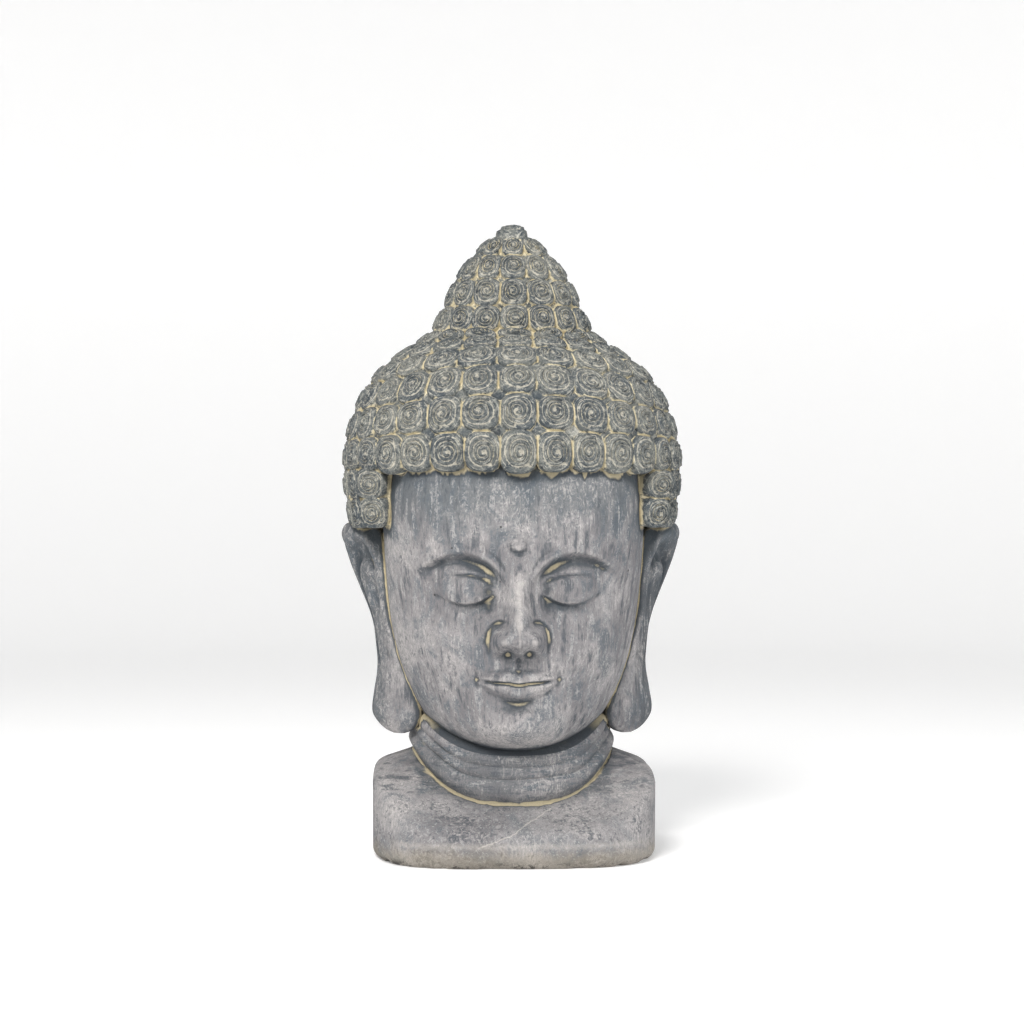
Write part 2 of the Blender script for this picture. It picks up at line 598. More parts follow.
def make_curl_patterns():
    """Collection of the curls that are dealt out: finely coiled ones first, then plainer ones."""
    patterns = bpy.data.collections.new("curl_patterns")
    for n in range(FINE_CURLS + PLAIN_CURLS):
        around, turns = FINE_COIL if n < FINE_CURLS else PLAIN_COIL
        lean = (COIL_LEAN * math.cos(2.4 * n), COIL_LEAN * math.sin(2.4 * n))
        mesh = curl_mesh(f"curl_{n:02d}", around, turns, n * 1.1, -1 if n % 4 == 1 else 1, lean)
        patterns.objects.link(bpy.data.objects.new(mesh.name, mesh))
    return patterns


def wrapped(angle):
    """The same angle between minus and plus half a turn."""
    return (angle + math.pi) % TURN - math.pi


def curl_places():
    """One point for each curl: where it sits, which way it faces, its half sizes, set and pattern."""
    found = {"place": [], "curl_out": [], "curl_up": [], "curl_half": [], "curl_set": [], "curl_pattern": []}
    for row, (count, _, _, start) in enumerate(CURL_ROWS):
        low, high = row_line(row, 0.0), row_line(row, 1.0)
        for j in range(count):
            middle = wrapped(j / count * TURN)
            if abs(middle) < math.radians(start):
                continue
            sides = np.array([middle - TURN / count / 2, middle + TURN / count / 2])
            bottom, top = hair_point(sides, *low), hair_point(sides, *high)
            if row == HAIRLINE_ROW and abs(middle) < first_edge(row - 1):
                bottom[:, 2] -= HAIRLINE_DROP
            out = np.cross(top[1] - bottom[0], top[0] - bottom[1])
            up = top.mean(0) - bottom.mean(0)
            if TEMPLE_ROW <= row < HAIRLINE_ROW and abs(middle) < first_edge(row) + TURN / count:
                turned = np.array(Matrix.Rotation(TEMPLE_TURN * math.copysign(1, middle), 3, "Z"))
                out, up = out @ turned, up @ turned
            half = [np.linalg.norm((bottom + top)[1] - (bottom + top)[0]) / 4, np.linalg.norm(up) / 2]
            fine = abs(middle) <= PLAIN_CURLS_FROM
            pattern = (row * 5 + j * 3 + (row * j) % 4) % (FINE_CURLS if fine else PLAIN_CURLS)
            found["place"].append((bottom.mean(0) + top.mean(0)) / 2)
            found["curl_out"].append(out / np.linalg.norm(out))
            found["curl_up"].append(up / np.linalg.norm(up))
            found["curl_half"].append([half[0] + CURL_OVERLAP / 2, half[1] + CURL_OVERLAP / 2, CURL_RISE])
            found["curl_set"].append(2 * (row % 2) + j % 2)
            found["curl_pattern"].append(pattern if fine else FINE_CURLS + pattern)
    return found


def crown_knob(found):
    """Add the knob on the crown to the curls' places: a taller curl that looks up."""
    ring = hair_point(np.arange(8) / 8 * TURN, HAIR_TOP, HAIR_TOP)
    middle = ring.mean(0)
    found["place"].append(middle)
    found["curl_out"].append((0.0, 0.0, 1.0))
    found["curl_up"].append((0.0, 1.0, 0.0))
    found["curl_half"].append([1.02 * np.ptp(ring[:, 0]) / 2, np.ptp(ring[:, 1]) / 2, HEIGHT - middle[2]])
    found["curl_set"].append(0)
    found["curl_pattern"].append(0)
    return found


def add(tree, kind, inputs=None, **settings):
    """Add a node with its settings; inputs maps a socket to a value or to the socket that feeds it."""
    node = tree.nodes.new(kind)
    for name, value in settings.items():
        setattr(node, name, value)
    for key, value in (inputs or {}).items():
        if isinstance(value, bpy.types.NodeSocket):
            tree.links.new(value, node.inputs[key])
        else:
            node.inputs[key].default_value = value
    return node


def curl_tree():
    """Geometry Nodes that set one curl on each point and make them one mesh."""
    tree = bpy.data.node_groups.new("snail_curls", "GeometryNodeTree")
    sockets = tree.interface.new_socket
    sockets("Places", in_out="INPUT", socket_type="NodeSocketGeometry")
    sockets("Set", in_out="INPUT", socket_type="NodeSocketInt")
    sockets("Patterns", in_out="INPUT", socket_type="NodeSocketCollection")
    sockets("Size Variation", in_out="INPUT", socket_type="NodeSocketFloat")
    sockets("Turn Variation", in_out="INPUT", socket_type="NodeSocketFloat")
    sockets("Unevenness", in_out="INPUT", socket_type="NodeSocketFloat")
    sockets("Seed", in_out="INPUT", socket_type="NodeSocketInt")
    sockets("Finish", in_out="INPUT", socket_type="NodeSocketMaterial")
    sockets("Curls", in_out="OUTPUT", socket_type="NodeSocketGeometry")
    given = add(tree, "NodeGroupInput").outputs

    chosen = add(tree, "FunctionNodeCompare", {
        2: add(tree, "GeometryNodeInputNamedAttribute", {"Name": "curl_set"}, data_type="INT").outputs[0],
        3: given["Set"]}, data_type="INT", operation="EQUAL")
    points = add(tree, "GeometryNodeSeparateGeometry", {
        "Geometry": given["Places"], "Selection": chosen.outputs[0]}, domain="POINT")

    out = add(tree, "GeometryNodeInputNamedAttribute", {"Name": "curl_out"}, data_type="FLOAT_VECTOR")
    up = add(tree, "GeometryNodeInputNamedAttribute", {"Name": "curl_up"}, data_type="FLOAT_VECTOR")
    half = add(tree, "GeometryNodeInputNamedAttribute", {"Name": "curl_half"}, data_type="FLOAT_VECTOR")
    pattern = add(tree, "GeometryNodeInputNamedAttribute", {"Name": "curl_pattern"}, data_type="INT")
    facing = add(tree, "FunctionNodeAlignRotationToVector", {"Vector": out.outputs[0]}, axis="Z")
    upright = add(tree, "FunctionNodeAlignRotationToVector", {
        "Rotation": facing.outputs[0], "Vector": up.outputs[0]}, axis="Y", pivot_axis="Z")

    least_turn = add(tree, "ShaderNodeMath", {0: 0.0, 1: given["Turn Variation"]}, operation="SUBTRACT")
    turn = add(tree, "FunctionNodeRandomValue", {
        2: least_turn.outputs[0], 3: given["Turn Variation"], "Seed": given["Seed"]}, data_type="FLOAT")
    spin = add(tree, "FunctionNodeAxisAngleToRotation", {"Axis": (0, 0, 1), "Angle": turn.outputs[1]})
    turned = add(tree, "FunctionNodeRotateRotation", {
        0: upright.outputs[0], 1: spin.outputs[0]}, rotation_space="LOCAL")

    least = add(tree, "ShaderNodeMath", {0: 1.0, 1: given["Size Variation"]}, operation="SUBTRACT")
    next_seed = add(tree, "ShaderNodeMath", {0: given["Seed"], 1: 1.0}, operation="ADD")
    most = add(tree, "ShaderNodeMath", {0: 1.0, 1: given["Size Variation"]}, operation="ADD")
    low = add(tree, "ShaderNodeCombineXYZ", {0: least.outputs[0], 1: least.outputs[0], 2: least.outputs[0]})
    high = add(tree, "ShaderNodeCombineXYZ", {0: most.outputs[0], 1: most.outputs[0], 2: 1.0})
    size = add(tree, "FunctionNodeRandomValue", {
        0: low.outputs[0], 1: high.outputs[0], "Seed": next_seed.outputs[0]}, data_type="FLOAT_VECTOR")
    scale = add(tree, "ShaderNodeVectorMath", {0: half.outputs[0], 1: size.outputs[0]}, operation="MULTIPLY")

    patterns = add(tree, "GeometryNodeCollectionInfo", {
        "Collection": given["Patterns"], "Separate Children": True, "Reset Children": True})
    curls = add(tree, "GeometryNodeInstanceOnPoints", {
        "Points": points.outputs[0], "Instance": patterns.outputs[0], "Pick Instance": True,
        "Instance Index": pattern.outputs[0], "Rotation": turned.outputs[0], "Scale": scale.outputs[0]})
    mesh = add(tree, "GeometryNodeRealizeInstances", {"Geometry": curls.outputs[0]})

    wobble = add(tree, "ShaderNodeTexNoise", {
        "Vector": add(tree, "GeometryNodeInputPosition").outputs[0], "Scale": 150.0, "Detail": 2.0},
        noise_dimensions="3D")
    centred = add(tree, "ShaderNodeVectorMath", {0: wobble.outputs["Color"], 1: (0.5, 0.5, 0.5)},
                  operation="SUBTRACT")
    shift = add(tree, "ShaderNodeVectorMath", {0: centred.outputs[0], "Scale": given["Unevenness"]},
                operation="SCALE")
    uneven = add(tree, "GeometryNodeSetPosition", {
        "Geometry": mesh.outputs[0], "Offset": shift.outputs[0]})
    finished = add(tree, "GeometryNodeSetMaterial", {
        "Geometry": uneven.outputs[0], "Material": given["Finish"]})
    add(tree, "NodeGroupOutput", {0: finished.outputs[0]})
    return tree


def set_input(modifier, name, value):
    """Set a modifier's input by the identifier of the socket that has this name."""
    for item in modifier.node_group.interface.items_tree:
        if item.name == name and item.in_out == "INPUT":
            modifier[item.identifier] = value


def plain_mesh(obj):
    """Replace an object's mesh with its evaluated one and take its modifiers off."""
    graph = bpy.context.evaluated_depsgraph_get()
    mesh = bpy.data.meshes.new_from_object(obj.evaluated_get(graph), depsgraph=graph)
    obj.modifiers.clear()
    obj.data = mesh
    return obj


def make_curls(finish):
    """Meshes of curls, dealt into sets so that no curl touches another of its own set."""
    found = crown_knob(curl_places())
    patterns = make_curl_patterns()
    tree = curl_tree()
    sets = []
    for number in range(CURL_SETS):
        mesh = bpy.data.meshes.new(f"curls_{number}")
        mesh.from_pydata(found["place"], [], [])
        for name, kind in [("curl_out", "FLOAT_VECTOR"), ("curl_up", "FLOAT_VECTOR"),
                           ("curl_half", "FLOAT_VECTOR"), ("curl_set", "INT"), ("curl_pattern", "INT")]:
            field = "vector" if kind == "FLOAT_VECTOR" else "value"
            mesh.attributes.new(name, kind, "POINT").data.foreach_set(field, np.ravel(found[name]))
        obj = bpy.data.objects.new(f"curls_{number}", mesh)
        bpy.context.collection.objects.link(obj)
        modifier = obj.modifiers.new("snail_curls", "NODES")
        modifier.node_group = tree
        set_input(modifier, "Set", number)
        set_input(modifier, "Patterns", patterns)
        set_input(modifier, "Size Variation", CURL_SIZE_CHANGE)
        set_input(modifier, "Turn Variation", CURL_TURN_CHANGE)
        set_input(modifier, "Unevenness", CURL_UNEVENNESS)
        set_input(modifier, "Seed", 11)
        set_input(modifier, "Finish", finish)
        sets.append(plain_mesh(obj))
    for pattern in list(patterns.objects):
        bpy.data.objects.remove(pattern)
    return sets


def join_all(shapes):
    """Union of closed shapes into the first of them; the others are removed."""
    whole = shapes[0]
    for shape in shapes[1:]:
        modifier = whole.modifiers.new(shape.name, "BOOLEAN")
        modifier.operation = "UNION"
        modifier.solver = "MANIFOLD"
        modifier.material_mode = "TRANSFER"
        modifier.object = shape
    plain_mesh(whole)
    for shape in shapes[1:]:
        bpy.data.objects.remove(shape)
    return whole


def fit_to_solid(obj):
    """Bring each face of the piece's box onto the solid's box."""
    co = np.zeros(len(obj.data.vertices) * 3, np.float32)
    obj.data.vertices.foreach_get("co", co)
    co = co.reshape(-1, 3)
    for axis in range(3):
        up, down = co[:, axis] > 0, co[:, axis] < 0
        co[up, axis] *= HIGH[axis] / co[:, axis].max()
        if axis < 2:
            co[down, axis] *= LOW[axis] / co[:, axis].min()
    co[:, 2] = np.maximum(co[:, 2], 0.0)
    obj.data.vertices.foreach_set("co", co.ravel())
    obj.data.update()


# Recesses are felt with this many rays from each point, out to a far and a near distance. A bend
# counts as fully sharp where a point stands this far off its neighbours' middle, for each square of
# the distance to them.
RAYS = 28
FAR = 16 * MM
NEAR = 5 * MM
SHARP_BEND = 150.0
RECESS_NAMES = ("near_recess", "far_recess", "crest", "hollow")


def measure_recesses(obj):
    """Store how shut in each point is, near and far, and how sharply it stands out or dips."""
    mesh = obj.data
    count = len(mesh.vertices)
    co = np.zeros(count * 3, np.float32)
    mesh.vertices.foreach_get("co", co)
    co = co.reshape(-1, 3).astype(float)
    normal = np.zeros(count * 3, np.float32)
    mesh.vertices.foreach_get("normal", normal)
    normal = normal.reshape(-1, 3).astype(float)
    edges = np.zeros(len(mesh.edges) * 2, np.int32)
    mesh.edges.foreach_get("vertices", edges)
    a, b = edges.reshape(-1, 2).T
    tree = BVHTree.FromPolygons([Vector(p) for p in co], [tuple(p.vertices) for p in mesh.polygons])

    golden = math.pi * (3 - math.sqrt(5))
    n = np.arange(RAYS) + 0.5
    lift = np.sqrt(1 - n / RAYS * 0.94)
    spread = np.sqrt(1 - lift**2)
    rays = np.stack([spread * np.cos(golden * n), spread * np.sin(golden * n), lift], axis=-1)
    near = np.zeros(count)
    far = np.zeros(count)
    for i in range(count):
        n_i = Vector(normal[i])
        start = Vector(co[i]) + n_i * 0.15 * MM
        turn = n_i.to_track_quat("Z", "Y").to_matrix()
        for ray in rays:
            hit = tree.ray_cast(start, turn @ Vector(ray), FAR)[3]
            if hit is not None:
                far[i] += 1 - 0.6 * hit / FAR
                if hit < NEAR:
                    near[i] += 1 - 0.5 * hit / NEAR
    near /= RAYS
    far /= RAYS

    total = np.stack([np.bincount(a, co[b, k], count) + np.bincount(b, co[a, k], count)
                      for k in range(3)], axis=-1)
    degree = np.bincount(a, minlength=count) + np.bincount(b, minlength=count)
    length = np.linalg.norm(co[a] - co[b], axis=1)
    mean_length = (np.bincount(a, length, count) + np.bincount(b, length, count)) / degree
    bulge = np.sum((co - total / degree[:, None]) * normal, axis=1) / mean_length**2
    for _ in range(2):
        bulge = (bulge + (np.bincount(a, bulge[b], count) + np.bincount(b, bulge[a], count)) / degree) / 2
    crest = np.clip(bulge / SHARP_BEND, 0, 1)
    hollow = np.clip(-bulge / SHARP_BEND, 0, 1)
    for name, value in zip(RECESS_NAMES, (near, far, crest, hollow)):
        mesh.attributes.new(name, "FLOAT", "POINT").data.foreach_set("value", value.astype(np.float32))


def linear(hex_code):
    """An sRGB hex colour as the linear colour that a shader takes."""
    parts = [int(hex_code[i:i + 2], 16) / 255 for i in (1, 3, 5)]
    return [p / 12.92 if p <= 0.04045 else ((p + 0.055) / 1.055) ** 2.4 for p in parts] + [1.0]


def broken_mask(tree, value, breaker, amount, low, high):
    """Mask that rises from low to high, its edge broken up by a pattern round a half."""
    shifted = add(tree, "ShaderNodeMath", {0: breaker, 1: amount, 2: value}, operation="MULTIPLY_ADD")
    middle = add(tree, "ShaderNodeMath", {0: shifted.outputs[0], 1: 0.5 * amount}, operation="SUBTRACT")
    mask = add(tree, "ShaderNodeMapRange", {"Value": middle.outputs[0], "From Min": low, "From Max": high},
               interpolation_type="SMOOTHSTEP")
    return mask.outputs[0]


def painted(tree, colour, layers):
    """Colour with layers laid over it, each a mask, a strength and a hex colour."""
    for mask, strength, code in layers:
        cover = add(tree, "ShaderNodeMath", {0: mask, 1: strength}, operation="MULTIPLY")
        colour = add(tree, "ShaderNodeMix", {0: cover.outputs[0], 6: colour, 7: linear(code)},
                     data_type="RGBA").outputs[2]
    return colour


def new_material(name):
    """Material with its tree emptied down to a Principled shader."""
    material = bpy.data.materials.new(name)
    material.use_nodes = True
    tree = material.node_tree
    return material, tree, tree.nodes["Principled BSDF"]


def set_dry_stone(shader):
    """Weak sheen of a dry mineral surface."""
    shader.inputs["IOR"].default_value = 1.5
    shader.inputs["Specular IOR Level"].default_value = 0.35


def read_recesses(tree):
    """The values that measure_recesses stored, in the order of their names."""
    return [add(tree, "ShaderNodeAttribute", attribute_name=name).outputs["Fac"] for name in RECESS_NAMES]


# Patterns of the two finishes: how the place is stretched and turned, then scale, detail, roughness
# and distortion of the noise. At a scale of 1000 the pattern's cells are a millimetre wide.
STONE_PATTERNS = {
    "clouds": ((1, 1, 1), (0, 0, 0), 17, 4, 0.60, 0.4),
    "patches": ((1, 1, 1), (0, 0, 0), 31, 5, 0.65, 0.9),
    "streaks down": ((1, 1, 0.16), (0, 0, 0), 200, 6, 0.68, 0),
    "streaks round": ((0.22, 0.22, 1.3), (0, 0, 0), 240, 6, 0.68, 0),
    "scuffs": ((1, 1, 1), (0, 0, 0), 300, 5, 0.70, 1.2),
    "grain": ((1, 1, 1), (0, 0, 0), 1100, 2, 0.50, 0),
    "scores": ((1, 1, 0.28), (0, 0.7, 0.2), 330, 5, 0.70, 2.2),
}
CURL_PATTERNS = {
    "patches": ((1, 1, 1), (0, 0, 0), 38, 5, 0.65, 0.6),
    "mottle": ((1, 1, 1), (0, 0, 0), 330, 5, 0.70, 1.0),
    "grain": ((1, 1, 1), (0, 0, 0), 1100, 2, 0.50, 0),
}


def lay_patterns(tree, here, table):
    """Noise patterns of a finish, in the order of its table."""
    found = []
    for stretch, turn, scale, detail, roughness, distortion in table.values():
        drawn = add(tree, "ShaderNodeMapping", {"Vector": here, "Rotation": turn, "Scale": stretch})
        found.append(add(tree, "ShaderNodeTexNoise", {
            "Vector": drawn.outputs[0], "Scale": scale, "Detail": detail, "Roughness": roughness,
            "Distortion": distortion}).outputs[0])
    return found


# Parts of the stone that are finished differently: the measure that tells them apart (height, how far
# off the middle plane, or how far back), the values in metres at which the part's mask is nought and
# one, and how it rises between them
STONE_PARTS = {
    "neck and above": ("height", 0.040, 0.052, "SMOOTHSTEP"),
    "face and above": ("height", 0.080, 0.098, "SMOOTHSTEP"),
    "brow and above": ("height", 0.215, 0.275, "LINEAR"),
    "above the neck's foot": ("height", 0.060, 0.070, "LINEAR"),
    "below the jaw": ("height", 0.104, 0.094, "LINEAR"),
    "below the neck": ("height", 0.044, 0.038, "LINEAR"),
    "lower edge": ("height", 0.0055, 0.0020, "LINEAR"),
    "ears": ("off middle", 0.085, 0.105, "LINEAR"),
    "width of the throat": ("off middle", 0.068, 0.055, "LINEAR"),
    "width of the neck": ("off middle", 0.078, 0.068, "LINEAR"),
    "length of the crack": ("off middle", 0.034, 0.022, "LINEAR"),
    "front of the bust": ("back", -0.080, -0.095, "LINEAR"),
}
# Mould line and crack on the bust: height of the line, how far the crack falls to the side for each
# metre, how far it wanders with the clouds, and where it lies
MOULD_LINE_HEIGHT = 16.5 * MM
CRACK_FALL = 0.55
CRACK_WANDER = 20 * MM
CRACK_HEIGHT = 38 * MM


def stone_parts(tree, here):
    """Masks of the stone's differently finished parts, by name."""
    aside, back, height = add(tree, "ShaderNodeSeparateXYZ", {0: here}).outputs
    off_middle = add(tree, "ShaderNodeMath", {0: aside}, operation="ABSOLUTE").outputs[0]
    measures = {"height": height, "off middle": off_middle, "back": back}
    masks = {}
    for name, (measure, nought, one, rise) in STONE_PARTS.items():
        masks[name] = add(tree, "ShaderNodeMapRange", {
            "Value": measures[measure], "From Min": nought, "From Max": one},
            interpolation_type=rise).outputs[0]
    return masks


def overlap(tree, *masks):
    """Mask of where all the given masks lie over each other."""
    whole = masks[0]
    for mask in masks[1:]:
        whole = add(tree, "ShaderNodeMath", {0: whole, 1: mask}, operation="MULTIPLY").outputs[0]
    return whole


def bust_marks(tree, here, part, clouds, patches, scuffs):
    """Wash that gathered at the foot, the mould line, the knocked lower edge and the fine crack."""
    aside, _, height = add(tree, "ShaderNodeSeparateXYZ", {0: here}).outputs
    foot_wash = broken_mask(tree, height, patches, 0.020, 0.018, 0.006)

    above_line = add(tree, "ShaderNodeMath", {0: height, 1: MOULD_LINE_HEIGHT}, operation="SUBTRACT")
    off_line = add(tree, "ShaderNodeMath", {0: above_line.outputs[0]}, operation="ABSOLUTE").outputs[0]
    mould_line = overlap(tree, broken_mask(tree, off_line, scuffs, 0.012, 0.0028, 0.0004),
                         part["front of the bust"])
    knocked = overlap(tree, part["lower edge"], broken_mask(tree, scuffs, patches, 1.2, 0.56, 0.62))

    slanted = add(tree, "ShaderNodeMath", {0: aside, 1: -CRACK_FALL, 2: height},
                  operation="MULTIPLY_ADD").outputs[0]
    wandering = add(tree, "ShaderNodeMath", {0: clouds, 1: CRACK_WANDER, 2: slanted},
                    operation="MULTIPLY_ADD").outputs[0]
    above_crack = add(tree, "ShaderNodeMath", {0: wandering, 1: CRACK_HEIGHT}, operation="SUBTRACT")
    off_crack = add(tree, "ShaderNodeMath", {0: above_crack.outputs[0]}, operation="ABSOLUTE").outputs[0]
    thin = add(tree, "ShaderNodeMapRange", {
        "Value": off_crack, "From Min": 0.7 * MM, "From Max": 0.2 * MM}).outputs[0]
    crack = overlap(tree, thin, part["length of the crack"], part["below the neck"])
    return foot_wash, mould_line, knocked, crack


def casting_pores(tree, here):
    """Mask of the few round air holes, 1 to 2 mm wide, that a casting keeps in its skin."""
    cells = add(tree, "ShaderNodeTexVoronoi", {"Vector": here, "Scale": 85.0}).outputs
    chance = add(tree, "ShaderNodeSeparateColor", {0: cells["Color"]}).outputs[0]
    chosen = add(tree, "ShaderNodeMath", {0: chance, 1: 0.90}, operation="GREATER_THAN").outputs[0]
    middle = add(tree, "ShaderNodeMapRange", {
        "Value": cells["Distance"], "From Min": 0.09, "From Max": 0.05}).outputs[0]
    return overlap(tree, middle, chosen)


def brushed_cast_stone():
    """Cast stone brushed with a thin slate wash: dry and matt, clouded, streaked down the face.

    Sand grain of under a millimetre, brush marks 3 to 5 mm apart, clouds of 40 to 60 mm, dark wash
    and some cream left in the creases, rubbed pale on the high spots.
    """
    material, tree, shader = new_material("brushed_cast_stone")
    here = add(tree, "ShaderNodeTexCoord").outputs["Object"]
    near, far, crest, hollow = read_recesses(tree)
    clouds, patches, down, round_neck, scuffs, grain, scores = lay_patterns(tree, here, STONE_PATTERNS)
    part = stone_parts(tree, here)
    on_face = part["face and above"]
    off_face = add(tree, "ShaderNodeMath", {0: 1.0, 1: on_face}, operation="SUBTRACT").outputs[0]

    # Marks of the brush: scuffed on the bust, round the neck, and down the face, where the clouds
    # decide how much of it is scrubbed instead
    scrubbed = add(tree, "ShaderNodeMapRange", {
        "Value": clouds, "From Min": 0.46, "From Max": 0.58, "To Max": 0.75}).outputs[0]
    face_marks = add(tree, "ShaderNodeMix", {0: scrubbed, 2: down, 3: scuffs}).outputs[0]
    lower_marks = add(tree, "ShaderNodeMix", {
        0: part["neck and above"], 2: scuffs, 3: round_neck}).outputs[0]
    marks = add(tree, "ShaderNodeMix", {0: on_face, 2: lower_marks, 3: face_marks}).outputs[0]

    # The throat keeps hardly any cream, and the shade under the chin none
    throat = overlap(tree, part["width of the throat"], part["above the neck's foot"])
    under_chin = overlap(tree, throat, part["below the jaw"])
    beyond_chin = add(tree, "ShaderNodeMath", {0: 1.0, 1: under_chin}, operation="SUBTRACT").outputs[0]
    chin_shade = overlap(tree, broken_mask(tree, far, marks, 0.3, 0.18, 0.45), under_chin)
    crease_cream = overlap(tree, broken_mask(tree, hollow, patches, 1.1, 0.36, 0.70), beyond_chin)
    wash_share = add(tree, "ShaderNodeMath", {0: on_face, 1: 0.6, 2: 0.4},
                     operation="MULTIPLY_ADD").outputs[0]
    recess_wash = overlap(tree, broken_mask(tree, far, patches, 0.22, 0.02, 0.20), wash_share)
    cream_share = add(tree, "ShaderNodeMath", {0: throat, 1: -0.9, 2: 1.0},
                      operation="MULTIPLY_ADD").outputs[0]
    joint_cream = overlap(tree, broken_mask(tree, near, patches, 1.5, 0.26, 0.62), cream_share)

    ears = overlap(tree, part["ears"], on_face)
    neck = overlap(tree, part["neck and above"], off_face, part["width of the neck"])
    foot_wash, mould_line, knocked, crack = bust_marks(tree, here, part, clouds, patches, scuffs)

    body = add(tree, "ShaderNodeMix", {
        0: broken_mask(tree, clouds, marks, 0.6, 0.32, 0.62),
        6: linear("#6f6d6f"), 7: linear("#939090")}, data_type="RGBA").outputs[2]
    paint = painted(tree, body, [
        # Slate wash over ears, neck and brow, and in patches everywhere
        (broken_mask(tree, ears, patches, 1.4, 0.10, 0.75), 0.70, "#40474c"),
        (broken_mask(tree, neck, marks, 2.6, 0.55, 1.20), 0.66, "#3f464b"),
        (broken_mask(tree, part["brow and above"], patches, 1.8, 0.15, 0.85), 0.66, "#50575b"),
        (broken_mask(tree, patches, marks, 1.1, 0.48, 0.64), 0.70, "#4a535b"),
        # Brush marks and slanted scores, each rubbed pale on one side and dark on the other
        (broken_mask(tree, marks, scuffs, 0.5, 0.52, 0.68), 0.52, "#b2aeab"),
        (broken_mask(tree, marks, patches, 0.4, 0.47, 0.34), 0.66, "#3f474e"),
        (broken_mask(tree, scores, clouds, 0.5, 0.54, 0.70), 0.50, "#bab5b1"),
        (broken_mask(tree, scores, patches, 0.5, 0.46, 0.32), 0.45, "#41484e"),
        # Dark wash in recesses and hollows, cream over it, and deep shade where they close
        (recess_wash, 0.84, "#363d43"),
        (broken_mask(tree, hollow, patches, 0.40, 0.10, 0.38), 0.80, "#33393f"),
        (crease_cream, 0.72, "#b8ac8e"),
        (joint_cream, 0.82, "#bdb193"),
        (broken_mask(tree, far, marks, 0.3, 0.58, 0.80), 0.85, "#33373a"),
        (chin_shade, 0.75, "#363b40"),
        # Marks on the bust
        (foot_wash, 0.42, "#8f8571"),
        (mould_line, 0.26, "#bcb6ae"),
        (knocked, 0.85, "#292522"),
        (crack, 0.40, "#c4beb5"),
        # High spots rubbed pale
        (broken_mask(tree, crest, marks, 0.50, 0.22, 0.80), 0.50, "#b7b2ae"),
    ])
    speckle = add(tree, "ShaderNodeMapRange", {
        "Value": grain, "From Min": 0.3, "From Max": 0.7, "To Min": 0.90, "To Max": 1.08}).outputs[0]
    speckled = add(tree, "ShaderNodeVectorMath", {0: paint, "Scale": speckle}, operation="SCALE").outputs[0]
    pores = casting_pores(tree, here)
    tree.links.new(painted(tree, speckled, [(pores, 1.0, "#3c3e3f")]), shader.inputs["Base Color"])

    roughness = add(tree, "ShaderNodeMapRange", {"Value": marks, "To Min": 0.95, "To Max": 0.74})
    tree.links.new(roughness.outputs[0], shader.inputs["Roughness"])
    set_dry_stone(shader)
    sand = add(tree, "ShaderNodeBump", {"Height": grain, "Strength": 0.5, "Distance": 0.25 * MM})
    brushing = add(tree, "ShaderNodeBump", {
        "Height": marks, "Strength": 0.9, "Distance": 0.6 * MM, "Normal": sand.outputs[0]})
    pits = add(tree, "ShaderNodeBump", {
        "Height": pores, "Strength": 1.0, "Distance": 0.8 * MM, "Normal": brushing.outputs[0]},
        invert=True)
    tree.links.new(pits.outputs[0], shader.inputs["Normal"])
    return material


def winding_scratches(tree, here):
    """Brush scratches that wind round each curl, read from its coil_place map and shifted from curl
    to curl by its place."""
    on_curl = add(tree, "ShaderNodeUVMap", uv_map="coil_place").outputs[0]
    reach = add(tree, "ShaderNodeVectorMath", {0: on_curl}, operation="LENGTH").outputs["Value"]
    across = add(tree, "ShaderNodeMath", {0: reach, 1: 13.0}, operation="MULTIPLY").outputs[0]
    outwards = add(tree, "ShaderNodeCombineXYZ", {2: across}).outputs[0]
    heading = add(tree, "ShaderNodeVectorMath", {0: on_curl}, operation="NORMALIZE").outputs[0]
    wound = add(tree, "ShaderNodeVectorMath", {0: heading, "Scale": 0.7}, operation="SCALE").outputs[0]
    polar = add(tree, "ShaderNodeVectorMath", {0: wound, 1: outwards}, operation="ADD").outputs[0]
    own = add(tree, "ShaderNodeVectorMath", {0: here, "Scale": 14.0}, operation="SCALE").outputs[0]
    place = add(tree, "ShaderNodeVectorMath", {0: polar, 1: own}, operation="ADD").outputs[0]
    return add(tree, "ShaderNodeTexNoise", {
        "Vector": place, "Scale": 1.5, "Detail": 3.0, "Roughness": 0.6}).outputs[0]


